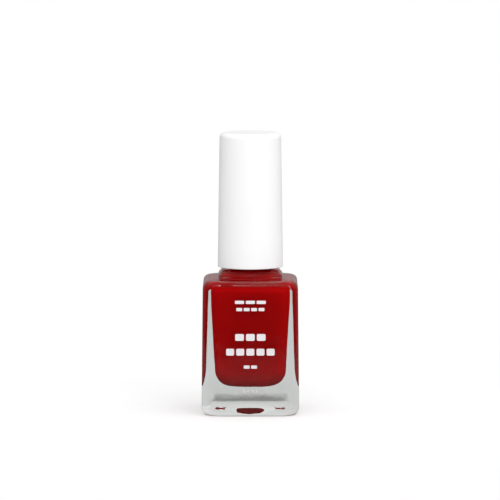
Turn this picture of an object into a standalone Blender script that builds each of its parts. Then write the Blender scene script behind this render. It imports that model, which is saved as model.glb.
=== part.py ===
"""Nail polish bottle: a square glass bottle full of red lacquer, closed by a tall white
screw cap whose stem and brush reach down into the lacquer.

Metres, +Z up. The origin is the middle of the foot and the front of the glass faces -Y.
Every section is a ring with the same number of points, a square with rounded corners
or a circle, so that any section can be lofted to the next.
"""

import math

import bmesh
import bpy
from mathutils import Vector

MM = 0.001
GAP = 0.3 * MM  # clearance between neighbouring pieces

# Glass body
BODY_HALF_FOOT = 13.5 * MM
BODY_HALF_SHOULDER = 13.2 * MM
BODY_CORNER = 1.8 * MM
FOOT_ROUND_WIDE = 1.5 * MM
FOOT_ROUND_HIGH = 2.4 * MM
FOOT_CORNER = 4.2 * MM  # it sharpens to BODY_CORNER at SQUARE_ABOVE_Z
SQUARE_ABOVE_Z = 6.0 * MM
PUSH_UP_RADIUS = 8.9 * MM
PUSH_UP_DEPTH = 2.1 * MM
SHOULDER_Z = 37.3 * MM  # at its outer edge; it rises towards the collar
SHOULDER_RISE = 0.45 * MM
SHOULDER_FILLET = 1.8 * MM

# Collar, the square step that the cap stands over
COLLAR_HALF = 8.8 * MM
COLLAR_CORNER = 4.0 * MM
COLLAR_EDGE_Z = 38.2 * MM
COLLAR_TOP_HALF = 7.9 * MM
COLLAR_TOP_Z = 39.7 * MM

# Neck and its screw thread, 12 turns to the inch
NECK_RADIUS = 5.8 * MM
NECK_BORE = 4.0 * MM
RIM_Z = 50.0 * MM
RIM_ROUND = 0.35 * MM
PITCH = 25.4 / 12 * MM
THREAD_TURNS = 1.5
THREAD_START_Z = 45.2 * MM
THREAD_CREST = 6.45 * MM
THREAD_ROOT_HALF_WIDTH = 0.55 * MM
THREAD_CREST_HALF_WIDTH = 0.25 * MM
THREAD_RUN_OUT = math.radians(40)

# Cavity inside the glass
CAVITY_HALF_TOP = 11.0 * MM
CAVITY_HALF_FLOOR = 9.6 * MM
CAVITY_CORNER = 3.0 * MM
CAVITY_FLOOR_Z = 7.3 * MM
CAVITY_FLOOR_FILLET = 4.7 * MM
BOWL_RADIUS = 30.0 * MM  # the floor is slightly dished
CEILING_Z = 35.4 * MM
CEILING_FILLET = 1.4 * MM
THROAT_TOP_Z = 41.0 * MM  # the cavity narrows to the bore between the ceiling and here
THROAT = (  # half, height, corner, roundness of each section from the top down
    (4.6 * MM, 39.9 * MM, 3.4 * MM, 0.8),
    (6.3 * MM, 38.4 * MM, 3.4 * MM, 0.35),
    (6.9 * MM, 37.0 * MM, 3.4 * MM, 0.2),
)
CEILING_OPENING = 7.3 * MM
CEILING_OPENING_RISE = 0.7 * MM
CEILING_OPENING_CORNER = 3.2 * MM
FILL_Z = 42.0 * MM

# Cap
OVERCAP_BOTTOM_Z = 40.5 * MM
OVERCAP_TOP_Z = 78.0 * MM
OVERCAP_RADIUS_BOTTOM = 9.1 * MM
OVERCAP_RADIUS_TOP = 8.55 * MM
OVERCAP_EDGE = 1.4 * MM
OVERCAP_WALL = 1.1 * MM
OVERCAP_ROOF = 1.3 * MM
OVERCAP_LIP = 0.2 * MM  # chamfers of the open edge
OVERCAP_INNER_EDGE = 0.5 * MM
OVERCAP_GATE = 1.5 * MM  # radius of the flat in the middle of the roof

INNER_CAP_BOTTOM_Z = 41.0 * MM
INNER_CAP_TOP_Z = 54.0 * MM
INNER_CAP_RADIUS = 7.35 * MM
INNER_CAP_RIB = 0.25 * MM
INNER_CAP_PLAIN = (0.4 * MM, 0.8 * MM)  # without ribs at the foot and at the top
INNER_CAP_EDGE = 0.2 * MM
INNER_CAP_BORE = 6.65 * MM
INNER_CAP_DECK = 1.4 * MM
DECK_HOLE = 2.7 * MM
INNER_THREAD_CREST = 6.1 * MM
INNER_THREAD_TURNS = 1.25

# Sealing liner, a soft washer on the rim
LINER_OUTER = 6.2 * MM
LINER_INNER = 2.05 * MM
LINER_THICKNESS = 0.7 * MM

# Brush
STEM_TOP_RADIUS = 1.75 * MM
STEM_END_RADIUS = 1.5 * MM
STEM_END_Z = 27.5 * MM
STEM_FLANGE = 6.1 * MM
STEM_FLANGE_THICKNESS = 1.0 * MM
STEM_SPIGOT = 2.4 * MM
STEM_BARB = 3.0 * MM
STEM_HOLE = 1.15 * MM
STEM_HOLE_TOP_Z = 31.6 * MM
STAPLE_SIZE = (1.9 * MM, 0.4 * MM, 1.6 * MM)
TUFT_ROOT = 0.85 * MM
TUFT_BELLY = 2.1 * MM
TUFT_TIP_Z = 12.5 * MM
TUFT_SPREAD = (0.45 * MM, 1.0 * MM)  # out and down from the stem
TUFT_OUTLINE = (  # inside the belly radius, height
    (0.2 * MM, 21.0 * MM),
    (0.0, 16.5 * MM),
    (0.25 * MM, 14.0 * MM),
    (0.8 * MM, 13.0 * MM),
    (1.5 * MM, TUFT_TIP_Z),
)
WELL_CLEARANCE = 0.4 * MM

# Mixing balls
BALL_RADIUS = 2.0 * MM
BALL_SPACING = 4.3 * MM
BALL_ROLL = math.radians(5.5)
CHANNEL_CLEARANCE = 0.35 * MM
CHANNEL_HEIGHT = 5.4 * MM

FLAT_STEPS = 2  # segments on each half side of a ring
CORNER_STEPS = 4  # segments round each corner
RING_POINTS = 4 * (2 * FLAT_STEPS + CORNER_STEPS)


def square_corner(half, corner):
    """One quarter of a rounded square, from the middle of the +X side to the +Y one."""
    flat = half - corner
    points = [Vector((half, flat * step / FLAT_STEPS)) for step in range(FLAT_STEPS)]
    for step in range(CORNER_STEPS + 1):
        angle = math.pi / 2 * step / CORNER_STEPS
        points.append(
            Vector((flat + corner * math.cos(angle), flat + corner * math.sin(angle)))
        )
    points += [
        Vector((flat * (1 - step / FLAT_STEPS), half)) for step in range(1, FLAT_STEPS)
    ]
    return points


def ring(half, z, corner=0.0, roundness=1.0, points=RING_POINTS):
    """Points round +Z at height z. Roundness 1 is a circle, 0 is a rounded square."""
    circle = []
    for index in range(points):
        angle = 2 * math.pi * index / points
        circle.append(Vector((half * math.cos(angle), half * math.sin(angle))))
    if roundness < 1.0:
        quarter = square_corner(half, corner)
        square = []
        for side in range(4):
            turn = side * math.pi / 2
            for point in quarter:
                square.append(
                    Vector(
                        (
                            point.x * math.cos(turn) - point.y * math.sin(turn),
                            point.x * math.sin(turn) + point.y * math.cos(turn),
                        )
                    )
                )
        circle = [a.lerp(b, roundness) for a, b in zip(square, circle)]
    return [Vector((point.x, point.y, z)) for point in circle]


def arc(centre, radii, start, end, steps):
    """(half, z) points on an ellipse arc; angles in degrees from the outward direction."""
    points = []
    for step in range(steps + 1):
        angle = math.radians(start + (end - start) * step / steps)
        points.append(
            (
                centre[0] + radii[0] * math.cos(angle),
                centre[1] + radii[1] * math.sin(angle),
            )
        )
    return points


def add_object(name, bm, parent=None):
    bmesh.ops.recalc_face_normals(bm, faces=bm.faces)
    mesh = bpy.data.meshes.new(name)
    bm.to_mesh(mesh)
    bm.free()
    mesh.shade_smooth()
    mesh.set_sharp_from_angle(angle=math.radians(35))
    obj = bpy.data.objects.new(name, mesh)
    bpy.context.scene.collection.objects.link(obj)
    obj.parent = parent
    return obj


def loft(name, rings, closed=False):
    """Skin a stack of rings. The ends are capped or, when closed, joined to each other."""
    bm = bmesh.new()
    loops = [[bm.verts.new(point) for point in points] for points in rings]
    pairs = list(zip(loops, loops[1:]))
    if closed:
        pairs.append((loops[-1], loops[0]))
    else:
        bm.faces.new(loops[0])
        bm.faces.new(loops[-1])
    for lower, upper in pairs:
        count = len(lower)
        for index in range(count):
            after = (index + 1) % count
            bm.faces.new((lower[index], lower[after], upper[after], upper[index]))
    return add_object(name, bm)


def finish(obj, colour, roughness, metallic=0.0, transmission=0.0):
    """Give an object its own Principled material."""
    material = bpy.data.materials.new(obj.name)
    material.use_nodes = True
    shader = material.node_tree.nodes["Principled BSDF"]
    shader.inputs["Base Color"].default_value = (*colour, 1.0)
    shader.inputs["Roughness"].default_value = roughness
    shader.inputs["Metallic"].default_value = metallic
    shader.inputs["Transmission Weight"].default_value = transmission
    obj.data.materials.append(material)


def combine(target, other, operation):
    """Join a helper object to the target, or cut it out, and hide the helper."""
    modifier = target.modifiers.new(other.name, "BOOLEAN")
    modifier.operation = operation
    modifier.object = other
    other.hide_render = True
    other.display_type = "WIRE"


def thread(name, root, crest, turns, start_z):
    """A right-hand helical ridge that sinks into its wall at both ends.

    The root radius lies inside the wall that carries the ridge.
    """
    stations = round(turns * 24)
    rings = []
    for station in range(stations + 1):
        angle = turns * 2 * math.pi * station / stations
        from_end = min(angle, turns * 2 * math.pi - angle)
        height = min(1.0, from_end / THREAD_RUN_OUT)
        reach = root + (crest - root) * height
        z = start_z + PITCH * angle / (2 * math.pi)
        section = [
            (root, z - THREAD_ROOT_HALF_WIDTH),
            (reach, z - THREAD_CREST_HALF_WIDTH),
            (reach, z + THREAD_CREST_HALF_WIDTH),
            (root, z + THREAD_ROOT_HALF_WIDTH),
        ]
        if height == 0.0:
            tip = root + (crest - root) * 0.1
            section[1] = (tip, z - THREAD_CREST_HALF_WIDTH)
            section[2] = (tip, z + THREAD_CREST_HALF_WIDTH)
        rings.append(
            [Vector((r * math.cos(angle), r * math.sin(angle), h)) for r, h in section]
        )
    return loft(name, rings)


def cavity_rings(inset):
    """Sections of the cavity from the fill level down to the floor, offset inwards."""
    rings = [
        ring(NECK_BORE - inset, FILL_Z),
        ring(NECK_BORE - inset, THROAT_TOP_Z),
    ]
    for half, z, corner, roundness in THROAT:
        rings.append(ring(half - inset, z, corner, roundness))
    opening_z = CEILING_Z + CEILING_OPENING_RISE - inset / 2
    rings.append(
        ring(CEILING_OPENING - inset, opening_z, CEILING_OPENING_CORNER, 0.1)
    )
    corner = CAVITY_CORNER - inset
    upper = arc(
        (CAVITY_HALF_TOP - CEILING_FILLET, CEILING_Z - CEILING_FILLET),
        (CEILING_FILLET - inset, CEILING_FILLET - inset),
        90,
        0,
        3,
    )
    dish = BOWL_RADIUS - math.sqrt(
        BOWL_RADIUS**2 - (CAVITY_HALF_FLOOR - CAVITY_FLOOR_FILLET) ** 2
    )
    lower = arc(
        (
            CAVITY_HALF_FLOOR - CAVITY_FLOOR_FILLET,
            CAVITY_FLOOR_Z + dish + CAVITY_FLOOR_FILLET,
        ),
        (CAVITY_FLOOR_FILLET - inset, CAVITY_FLOOR_FILLET - inset),
        0,
        -90,
        5,
    )
    rings += [ring(half, z, corner, 0.0) for half, z in upper]
    for half, z in lower:
        depth = (CAVITY_HALF_FLOOR - half) / CAVITY_FLOOR_FILLET
        rings.append(ring(half, z, corner, min(1.0, depth * 0.5)))
    for half, roundness in ((3.2 * MM, 0.8), (1.4 * MM, 1.0)):
        z = CAVITY_FLOOR_Z + inset + BOWL_RADIUS - math.sqrt(BOWL_RADIUS**2 - half**2)
        rings.append(ring(half, z, 1.5 * MM, roundness))
    return rings


def make_glass_bottle():
    rings = []
    for step in range(1, 4):  # push-up under the foot
        reach = PUSH_UP_RADIUS * step / 4
        rings.append(ring(reach, PUSH_UP_DEPTH * (1 - (step / 4) ** 2)))
    rings.append(ring(PUSH_UP_RADIUS, 0.0))
    foot = arc(
        (BODY_HALF_FOOT - FOOT_ROUND_WIDE, FOOT_ROUND_HIGH),
        (FOOT_ROUND_WIDE, FOOT_ROUND_HIGH),
        -90,
        0,
        5,
    )
    shoulder = arc(
        (BODY_HALF_SHOULDER - SHOULDER_FILLET, SHOULDER_Z - SHOULDER_FILLET),
        (SHOULDER_FILLET, SHOULDER_FILLET),
        0,
        90,
        4,
    )
    rings += [ring(half, z, FOOT_CORNER, 0.0) for half, z in foot]
    rings.append(ring(BODY_HALF_FOOT, SQUARE_ABOVE_Z, BODY_CORNER, 0.0))
    for half, z in shoulder:
        corner = BODY_CORNER + (BODY_HALF_SHOULDER - half) * 0.6
        rings.append(ring(half, z, corner, 0.0))
    rings += [
        ring(COLLAR_HALF + 0.3 * MM, SHOULDER_Z + SHOULDER_RISE, COLLAR_CORNER, 0.0),
        ring(COLLAR_HALF - 0.05 * MM, COLLAR_EDGE_Z, COLLAR_CORNER, 0.0),
        ring(COLLAR_TOP_HALF, COLLAR_TOP_Z, COLLAR_CORNER, 0.0),
        ring(NECK_RADIUS, COLLAR_TOP_Z + 0.1 * MM),
        ring(NECK_RADIUS, RIM_Z - RIM_ROUND),
        ring(NECK_RADIUS - RIM_ROUND, RIM_Z),
        ring(NECK_BORE + RIM_ROUND, RIM_Z),
        ring(NECK_BORE, RIM_Z - RIM_ROUND),
    ]
    bottle = loft("glass_bottle", rings + cavity_rings(0.0))
    ridge = thread(
        "neck_thread",
        NECK_RADIUS - 0.3 * MM,
        THREAD_CREST,
        THREAD_TURNS,
        THREAD_START_Z,
    )
    combine(bottle, ridge, "UNION")
    finish(bottle, (0.80, 0.84, 0.81), 0.02, transmission=1.0)
    return bottle


def make_polish():
    """The lacquer, with a well for the brush and a channel for the balls on the floor."""
    polish = loft("polish", cavity_rings(GAP))
    well_radius = TUFT_BELLY + WELL_CLEARANCE
    well_bottom = TUFT_TIP_Z - GAP
    well = loft(
        "brush_well",
        [ring(well_radius, z) for z in (well_bottom, FILL_Z + 2.0 * MM)],
    )
    ball_radius = BALL_RADIUS + CHANNEL_CLEARANCE
    reach = ball_path_radius() * math.sin(ball_rest_angle() + BALL_ROLL)
    channel_top = CAVITY_FLOOR_Z + CHANNEL_HEIGHT
    rings = []
    for z in (CAVITY_FLOOR_Z - 1.0 * MM, channel_top):
        points = ring(ball_radius, z)
        for point in points:
            point.x += math.copysign(reach, point.x)
        rings.append(points)
    combine(polish, well, "DIFFERENCE")
    combine(polish, loft("ball_channel", rings), "DIFFERENCE")
    finish(polish, (0.35, 0.0, 0.01), 0.15)
    return polish


def make_overcap():
    taper = (OVERCAP_RADIUS_BOTTOM - OVERCAP_RADIUS_TOP) / (
        OVERCAP_TOP_Z - OVERCAP_BOTTOM_Z
    )
    roof_z = OVERCAP_TOP_Z - OVERCAP_ROOF

    def radius_at(z):
        return OVERCAP_RADIUS_BOTTOM - taper * (z - OVERCAP_BOTTOM_Z)

    edge = arc(
        (OVERCAP_RADIUS_TOP - OVERCAP_EDGE, OVERCAP_TOP_Z - OVERCAP_EDGE),
        (OVERCAP_EDGE, OVERCAP_EDGE),
        0,
        90,
        4,
    )
    inside = OVERCAP_RADIUS_BOTTOM - OVERCAP_WALL
    inside_top = radius_at(roof_z) - OVERCAP_WALL
    profile = [
        (OVERCAP_GATE, roof_z),
        (inside_top - OVERCAP_INNER_EDGE, roof_z),
        (inside_top, roof_z - OVERCAP_INNER_EDGE),
        (inside, OVERCAP_BOTTOM_Z + OVERCAP_LIP),
        (inside + OVERCAP_LIP, OVERCAP_BOTTOM_Z),
        (OVERCAP_RADIUS_BOTTOM - OVERCAP_LIP, OVERCAP_BOTTOM_Z),
        (OVERCAP_RADIUS_BOTTOM, OVERCAP_BOTTOM_Z + OVERCAP_LIP),
        *edge,
    ]
    overcap = loft("overcap", [ring(radius, z, points=40) for radius, z in profile])
    finish(overcap, (0.86, 0.86, 0.86), 0.45)
    return overcap


def make_inner_cap():
    """The threaded cap that the overcap is pressed onto, ribbed for grip."""

    def ribbed(z):
        points = ring(INNER_CAP_RADIUS, z)
        for point in points[::2]:
            point.x *= 1 + INNER_CAP_RIB / INNER_CAP_RADIUS
            point.y *= 1 + INNER_CAP_RIB / INNER_CAP_RADIUS
        return points

    deck_z = INNER_CAP_TOP_Z - INNER_CAP_DECK
    rings = [
        ring(INNER_CAP_RADIUS - INNER_CAP_EDGE, INNER_CAP_BOTTOM_Z),
        ribbed(INNER_CAP_BOTTOM_Z + INNER_CAP_PLAIN[0]),
        ribbed(INNER_CAP_TOP_Z - INNER_CAP_PLAIN[1]),
        ring(INNER_CAP_RADIUS - INNER_CAP_EDGE, INNER_CAP_TOP_Z),
        ring(DECK_HOLE, INNER_CAP_TOP_Z),
        ring(DECK_HOLE, deck_z),
        ring(INNER_CAP_BORE, deck_z),
        ring(INNER_CAP_BORE, INNER_CAP_BOTTOM_Z),
    ]
    inner_cap = loft("inner_cap", rings, closed=True)
    ridge = thread(
        "inner_cap_thread",
        INNER_CAP_BORE + 0.3 * MM,
        INNER_THREAD_CREST,
        INNER_THREAD_TURNS,
        THREAD_START_Z - PITCH / 2,
    )
    combine(inner_cap, ridge, "UNION")
    finish(inner_cap, (0.82, 0.82, 0.80), 0.4)
    return inner_cap


def make_sealing_liner():
    bottom = RIM_Z + GAP
    top = bottom + LINER_THICKNESS
    profile = [
        (LINER_INNER, bottom),
        (LINER_OUTER, bottom),
        (LINER_OUTER, top),
        (LINER_INNER, top),
    ]
    liner = loft("sealing_liner", [ring(r, z) for r, z in profile], closed=True)
    finish(liner, (0.78, 0.78, 0.76), 0.7)
    return liner


def make_brush_stem():
    """Stem, flange and snap-in spigot in one moulding, with a blind hole for the tuft."""
    flange_z = RIM_Z + LINER_THICKNESS + 2 * GAP
    flange_top = flange_z + STEM_FLANGE_THICKNESS
    barb_z = INNER_CAP_TOP_Z + GAP
    profile = [
        (STEM_HOLE, STEM_HOLE_TOP_Z),
        (STEM_HOLE, STEM_END_Z),
        (STEM_END_RADIUS - 0.1 * MM, STEM_END_Z),
        (STEM_END_RADIUS, STEM_END_Z + 0.2 * MM),
        (STEM_TOP_RADIUS, flange_z),
        (STEM_FLANGE, flange_z),
        (STEM_FLANGE, flange_top),
        (STEM_SPIGOT, flange_top),
        (STEM_SPIGOT, barb_z),
        (STEM_BARB, barb_z),
        (STEM_BARB, barb_z + 0.3 * MM),
        (STEM_SPIGOT - 0.2 * MM, barb_z + 0.9 * MM),
    ]
    stem = loft("brush_stem", [ring(radius, z, points=24) for radius, z in profile])
    finish(stem, (0.80, 0.80, 0.78), 0.35)
    return stem


def make_brush_staple():
    """The flat metal anchor that holds the folded filaments in the stem's hole."""
    bm = bmesh.new()
    bmesh.ops.create_cube(bm, size=1.0)
    top = STEM_HOLE_TOP_Z - GAP
    bmesh.ops.scale(bm, vec=STAPLE_SIZE, verts=bm.verts)
    bmesh.ops.translate(bm, vec=(0, 0, top - STAPLE_SIZE[2] / 2), verts=bm.verts)
    staple = add_object("brush_staple", bm)
    finish(staple, (0.60, 0.58, 0.55), 0.3, metallic=1.0)
    return staple


def make_bristle_tuft():
    """The tuft as one solid: a round root in the stem, a fuller belly and a domed tip."""
    root_top = STEM_HOLE_TOP_Z - STAPLE_SIZE[2] - 2 * GAP
    below_stem = STEM_END_Z - GAP
    profile = [
        (TUFT_ROOT, root_top),
        (TUFT_ROOT, below_stem),
        (TUFT_ROOT + TUFT_SPREAD[0], below_stem - TUFT_SPREAD[1]),
    ]
    profile += [(TUFT_BELLY - inside, z) for inside, z in TUFT_OUTLINE]
    tuft = loft("bristle_tuft", [ring(radius, z, points=20) for radius, z in profile])
    finish(tuft, (0.03, 0.03, 0.03), 0.5)
    return tuft


def ball_path_radius():
    """Distance from the centre of the dished floor to the centre of a ball on it."""
    return BOWL_RADIUS - BALL_RADIUS - GAP


def ball_rest_angle():
    return math.asin(BALL_SPACING / 2 / ball_path_radius())


def make_mixing_balls():
    """Two steel balls side by side, each able to roll outwards along the dished floor."""
    pivot = bpy.data.objects.new("ball_pivot", None)
    bpy.context.scene.collection.objects.link(pivot)
    pivot.location = (0, 0, CAVITY_FLOOR_Z + BOWL_RADIUS)
    for number, side in ((1, 1), (2, -1)):
        bm = bmesh.new()
        bmesh.ops.create_uvsphere(bm, u_segments=16, v_segments=9, radius=BALL_RADIUS)
        ball = add_object(f"mixing_ball_{number}", bm, pivot)
        angle = ball_rest_angle()
        ball.location.x = side * ball_path_radius() * math.sin(angle)
        ball.location.z = -ball_path_radius() * math.cos(angle)
        finish(ball, (0.62, 0.62, 0.62), 0.15, metallic=1.0)


def main():
    for old in list(bpy.data.objects):
        bpy.data.objects.remove(old)
    make_glass_bottle()
    make_polish()
    make_overcap()
    make_inner_cap()
    make_sealing_liner()
    make_brush_stem()
    make_brush_staple()
    make_bristle_tuft()
    make_mixing_balls()


main()
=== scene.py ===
import math

import bmesh
import bpy
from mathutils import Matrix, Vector, noise


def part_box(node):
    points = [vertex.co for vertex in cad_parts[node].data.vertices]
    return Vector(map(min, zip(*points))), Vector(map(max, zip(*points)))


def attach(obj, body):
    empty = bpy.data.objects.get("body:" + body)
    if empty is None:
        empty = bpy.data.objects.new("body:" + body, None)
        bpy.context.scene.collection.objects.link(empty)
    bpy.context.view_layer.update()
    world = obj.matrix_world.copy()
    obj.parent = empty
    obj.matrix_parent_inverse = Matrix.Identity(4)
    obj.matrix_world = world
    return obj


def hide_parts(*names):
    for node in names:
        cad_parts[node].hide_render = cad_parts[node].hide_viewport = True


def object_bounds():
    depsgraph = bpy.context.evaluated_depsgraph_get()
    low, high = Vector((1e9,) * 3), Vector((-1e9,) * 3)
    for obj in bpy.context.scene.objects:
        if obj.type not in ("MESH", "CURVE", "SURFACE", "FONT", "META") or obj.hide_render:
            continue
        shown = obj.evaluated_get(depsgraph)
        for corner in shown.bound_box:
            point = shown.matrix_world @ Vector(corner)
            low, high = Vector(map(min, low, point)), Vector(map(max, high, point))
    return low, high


mm = 0.001

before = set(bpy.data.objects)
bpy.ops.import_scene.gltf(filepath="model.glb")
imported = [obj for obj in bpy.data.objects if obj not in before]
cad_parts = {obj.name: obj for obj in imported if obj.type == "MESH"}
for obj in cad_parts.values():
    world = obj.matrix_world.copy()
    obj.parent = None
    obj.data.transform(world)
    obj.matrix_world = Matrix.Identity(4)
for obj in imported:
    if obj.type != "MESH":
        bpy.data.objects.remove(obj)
cadLow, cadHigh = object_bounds()
print("frame loaded:", len(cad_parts), "CAD nodes")


def addNode(tree, kind, values=None, **settings):
    # a node with its settings and its inputs, which take a value or another node's socket
    node = tree.nodes.new(kind)
    for setting, value in settings.items():
        setattr(node, setting, value)
    for socket, value in (values or {}).items():
        if isinstance(value, bpy.types.NodeSocket):
            tree.links.new(value, node.inputs[socket])
        else:
            node.inputs[socket].default_value = value
    return node


def nodeMath(tree, operation, *values, clamp=False):
    numbered = dict(enumerate(values))
    kind = "ShaderNodeMath"
    return addNode(tree, kind, numbered, operation=operation, use_clamp=clamp).outputs[0]


def link(name, data):
    made = bpy.data.objects.new(name, data)
    bpy.context.scene.collection.objects.link(made)
    return made


# the camera looks slightly down at the front

view = {
    "distance": 1200.0 * mm,  # from the bottle's axis
    "height": 169.5 * mm,
    "tilt": 5.92,  # degrees down
    "lens": 311.4,
    "sensor": 36.0,
    "sideways": -0.1 * mm,
}


def makeCamera():
    data = bpy.data.cameras.new("camera")
    data.lens = view["lens"]
    data.sensor_width = view["sensor"]
    data.clip_start = 0.01
    data.clip_end = 50.0
    camera = link("camera", data)
    camera.location = (view["sideways"], -view["distance"], view["height"])
    camera.rotation_euler = (math.radians(90 - view["tilt"]), 0, 0)
    bpy.context.scene.camera = camera


# a white tent: even light, a little more from the right and from the front; mirrored rays
# meet a darker room, and the camera sees plain white behind the bottle

tent = {
    "even": 0.90,
    "slope": (0.13, -0.22, 0.06),  # extra light from +X, +Y and +Z
    "mirrorEven": 0.20,
    "mirrorSlope": (0.0, 0.17, 0.05),
    "shown": 1.0,  # what the camera sees behind the bottle
}

softboxes = {
    # name: (place in m, size in m, power in W, whether shiny surfaces mirror it)
    "key": ((0.20, -0.60, 0.27), (0.10, 0.08), 0.4, True),
    "side": ((-0.16, -0.60, 0.28), (0.05, 0.06), 0.2, True),
    "top": ((0.12, -0.15, 0.60), (0.30, 0.30), 0.3, False),
    "strip": ((0.08, -0.35, 0.50), (0.50, 0.035), 0.9, True),
}
softboxAim = (0, 0, 0.04)

floorLook = {
    "lit": 0.57,  # as it lights the bottle and shows through the glass
    "paintedShadow": 0.24,  # a painted shadow round the foot: darker floor which only the glass shows
    "paintedShadowFade": (0.035, 0.045),  # m from the axis, from the painted shadow to the rest
    "paintedShadowRagged": 0.008,  # m, how uneven the edge of the painted shadow is
    "paintedShadowRaggedScale": 110.0,
    "mirrorNear": 0.34,  # as shiny surfaces mirror it
    "mirrorFar": 0.02,
    "mirrorFade": (-0.05, -0.20),  # m, where the mirrored floor turns dark
    "shown": 0.93,  # as the camera sees it
    "lift": 0.45,  # share of plain white glow mixed in near the bottle for the camera, painted light that lightens the shadow there
    "fade": (0.05, 0.16),  # m from the axis over which it turns plain white
}


def mirroredRay(tree, path):
    # 1 for a ray that a shiny surface mirrors; rays through glass count as glossy too
    return nodeMath(tree, "MULTIPLY", path["Is Glossy Ray"], path["Is Reflection Ray"])


def makeTent():
    world = bpy.data.worlds.new("tent")
    bpy.context.scene.world = world
    world.use_nodes = True
    tree = world.node_tree
    tree.nodes.clear()
    direction = addNode(tree, "ShaderNodeTexCoord").outputs["Generated"]
    path = addNode(tree, "ShaderNodeLightPath").outputs

    def gradient(even, slope):
        lean = addNode(
            tree, "ShaderNodeVectorMath", {0: direction, 1: slope}, operation="DOT_PRODUCT"
        )
        return nodeMath(tree, "ADD", lean.outputs["Value"], even)

    lit = gradient(tent["even"], tent["slope"])
    mirrored = gradient(tent["mirrorEven"], tent["mirrorSlope"])
    unseen = addNode(tree, "ShaderNodeMix", {
        "Factor": mirroredRay(tree, path), "A": lit, "B": mirrored,
    })
    strength = addNode(tree, "ShaderNodeMix", {
        "Factor": path["Is Camera Ray"], "A": unseen.outputs[0], "B": tent["shown"],
    })
    light = addNode(tree, "ShaderNodeBackground", {"Strength": strength.outputs[0]})
    light.inputs["Color"].default_value = (1, 1, 1, 1)
    addNode(tree, "ShaderNodeOutputWorld", {0: light.outputs[0]})
    bpy.context.scene.view_settings.view_transform = "Standard"


def makeSoftboxes():
    for name, (place, size, power, mirrored) in softboxes.items():
        data = bpy.data.lights.new(name, "AREA")
        data.shape = "RECTANGLE"
        data.size, data.size_y = size
        data.energy = power
        lamp = link(name, data)
        lamp.visible_glossy = mirrored
        lamp.location = place
        aim = Vector(softboxAim) - lamp.location
        lamp.rotation_euler = aim.to_track_quat("-Z", "Y").to_euler()


def makeFloor():
    bm = bmesh.new()
    bmesh.ops.create_grid(bm, x_segments=1, y_segments=1, size=6.0)
    mesh = bpy.data.meshes.new("floor")
    bm.to_mesh(mesh)
    bm.free()
    floor = link("floor", mesh)
    floor.location.z = cadLow.z - 0.02 * mm
    material = bpy.data.materials.new("floor")
    material.use_nodes = True
    tree = material.node_tree
    shader = tree.nodes["Principled BSDF"]
    shader.inputs["Roughness"].default_value = 0.7
    shader.inputs["Specular IOR Level"].default_value = 0.1
    spot = addNode(tree, "ShaderNodeTexCoord").outputs["Object"]
    split = addNode(tree, "ShaderNodeSeparateXYZ", {0: spot})
    path = addNode(tree, "ShaderNodeLightPath").outputs
    camera = path["Is Camera Ray"]
    ramp = addNode(tree, "ShaderNodeMapRange", {
        "Value": split.outputs["Y"],
        "From Min": floorLook["mirrorFade"][1], "From Max": floorLook["mirrorFade"][0],
        "To Min": floorLook["mirrorFar"], "To Max": floorLook["mirrorNear"],
    })
    away = addNode(tree, "ShaderNodeVectorMath", {0: spot}, operation="LENGTH").outputs["Value"]
    # painted shadow: the floor turns darker near the foot, with a ragged edge, for rays through the
    # glass
    cloud = addNode(tree, "ShaderNodeTexNoise", {
        "Vector": spot, "Scale": floorLook["paintedShadowRaggedScale"],
    }).outputs[0]
    uneven = nodeMath(tree, "MULTIPLY_ADD", cloud, floorLook["paintedShadowRagged"], away)
    shade = addNode(tree, "ShaderNodeMapRange", {
        "Value": nodeMath(tree, "SUBTRACT", uneven, floorLook["paintedShadowRagged"] / 2),
        "From Min": floorLook["paintedShadowFade"][0], "From Max": floorLook["paintedShadowFade"][1],
        "To Min": floorLook["paintedShadow"], "To Max": floorLook["lit"],
    })
    unseen = addNode(tree, "ShaderNodeMix", {
        "Factor": mirroredRay(tree, path),
        "A": shade.outputs["Result"], "B": ramp.outputs["Result"],
    })
    pick = addNode(tree, "ShaderNodeMix", {
        "Factor": camera, "A": unseen.outputs[0], "B": floorLook["shown"],
    })
    tree.links.new(pick.outputs["Result"], shader.inputs["Base Color"])
    # for the camera the floor glows plain white away from the bottle, and partly near it, painted
    # light that lightens its shadow
    fade = addNode(tree, "ShaderNodeMapRange", {
        "Value": away, "To Min": floorLook["lift"],
        "From Min": floorLook["fade"][0], "From Max": floorLook["fade"][1],
    }, interpolation_type="SMOOTHSTEP")
    only = nodeMath(tree, "MULTIPLY", fade.outputs["Result"], camera)
    whiteGlow = addNode(tree, "ShaderNodeEmission")
    mix = addNode(tree, "ShaderNodeMixShader", {
        0: only, 1: shader.outputs[0], 2: whiteGlow.outputs[0],
    })
    tree.links.new(mix.outputs[0], tree.nodes["Material Output"].inputs["Surface"])
    mesh.materials.append(material)


makeCamera()
makeTent()
makeSoftboxes()
makeFloor()
print("camera, lights and floor made")


# outlines: a list of points, turned or squared round the axis

ringSteps = {"flat": 7, "corner": 18}  # per half side and per corner


def at(half, z, fillet=0.0, corner=0.0, roundness=1.0, rows=0.0):
    # half width, height, fillet, plan corner, 1 for a circle, row spacing after the point
    return {
        "half": half, "z": z, "fillet": fillet,
        "corner": corner, "roundness": roundness, "rows": rows,
    }


def between(a, b, t):
    mixed = {key: a[key] + (b[key] - a[key]) * t for key in ("half", "z", "corner", "roundness")}
    return mixed | {"fillet": 0.0, "rows": 0.0}


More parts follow.
